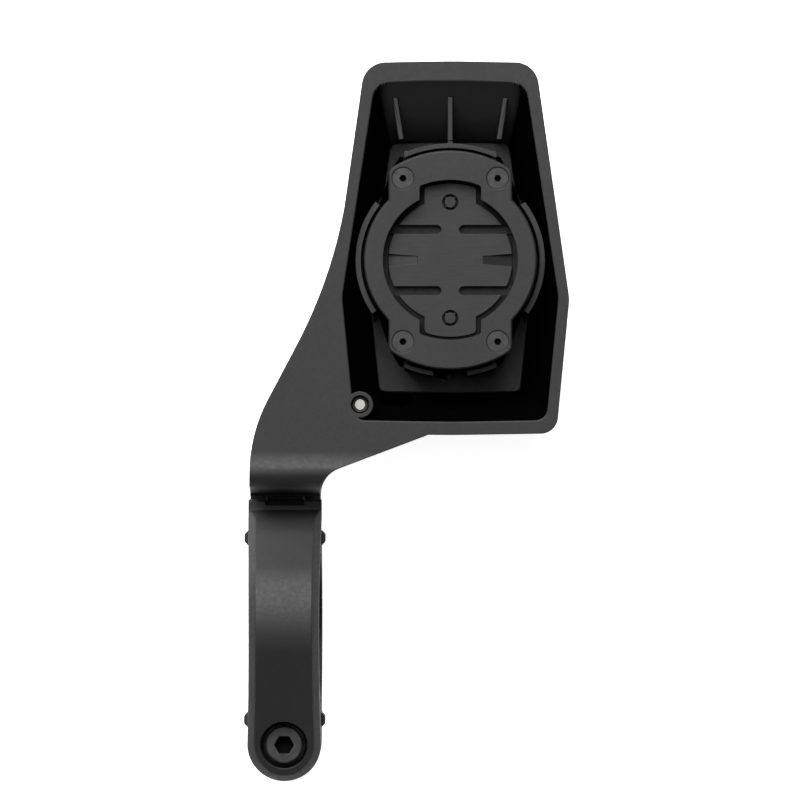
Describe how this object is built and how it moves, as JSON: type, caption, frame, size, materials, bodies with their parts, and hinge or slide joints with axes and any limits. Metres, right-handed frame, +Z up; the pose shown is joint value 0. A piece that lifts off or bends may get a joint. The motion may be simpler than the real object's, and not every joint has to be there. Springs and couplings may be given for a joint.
{
  "type": "out-front computer mount",
  "caption": "Out-front handlebar mount with a hinged bar clamp, an aero cowl and a twist-lock receiver for a cycling computer.",
  "frame": {"origin": "centre of the handlebar bore, halfway along the clamp", "axes": "+X along the handlebar to the rider's right, +Y forward, +Z up"},
  "size_m": [0.0754, 0.1669, 0.0408],
  "materials": {
    "black_nylon": "fine moulded texture",
    "black_acetal": "smooth matte",
    "black_rubber": "matte",
    "black_oxide_steel": "black oxide",
    "stainless_steel": "satin",
    "brass": "turned"
  },
  "bodies": {
    "mount": {"mount_body": "black_nylon", "receiver_base": "black_nylon", "bayonet_ring": "black_nylon", "detent_plate": "black_acetal", "lower_bar_pad": "black_rubber", "hinge_pin": "stainless_steel", "clamp_nut": "stainless_steel", "lock_insert": "brass", "ring_screw_1": "black_oxide_steel", "ring_screw_2": "black_oxide_steel", "ring_screw_3": "black_oxide_steel", "ring_screw_4": "black_oxide_steel", "ring_insert_1": "brass", "ring_insert_2": "brass", "ring_insert_3": "brass", "ring_insert_4": "brass", "belly_screw_1": "black_oxide_steel", "belly_screw_2": "black_oxide_steel", "belly_screw_3": "black_oxide_steel", "belly_screw_4": "black_oxide_steel"},
    "strap": {"clamp_strap": "black_nylon", "upper_bar_pad": "black_rubber"},
    "washer": {"clamp_washer": "black_oxide_steel"},
    "screw": {"clamp_screw": "black_oxide_steel"},
    "lock": {"lock_screw": "stainless_steel"}
  },
  "joints": [
    {"name": "strap_hinge", "type": "hinge", "parent": "mount", "child": "strap", "pos_m": [0, 0.027, -0.0036], "axis": [-1, 0, 0], "range_deg": [0, 44]},
    {"name": "clamp_screw_rise", "type": "slide", "parent": "strap", "child": "washer", "axis": [0, 0, 1], "range_m": [0, 0.008]},
    {"name": "clamp_screw_turn", "type": "hinge", "parent": "washer", "child": "screw", "pos_m": [0, -0.0271, 0.0074], "axis": [0, 0, 1], "range_deg": [0, 3600]},
    {"name": "lock_screw_rise", "type": "slide", "parent": "mount", "child": "lock", "axis": [0, 0, 1], "range_m": [0, 0.003]}
  ],
  "couplings": [
    {"joint": "clamp_screw_turn", "follows": "clamp_screw_rise", "rad_per_m": 7854}
  ]
}
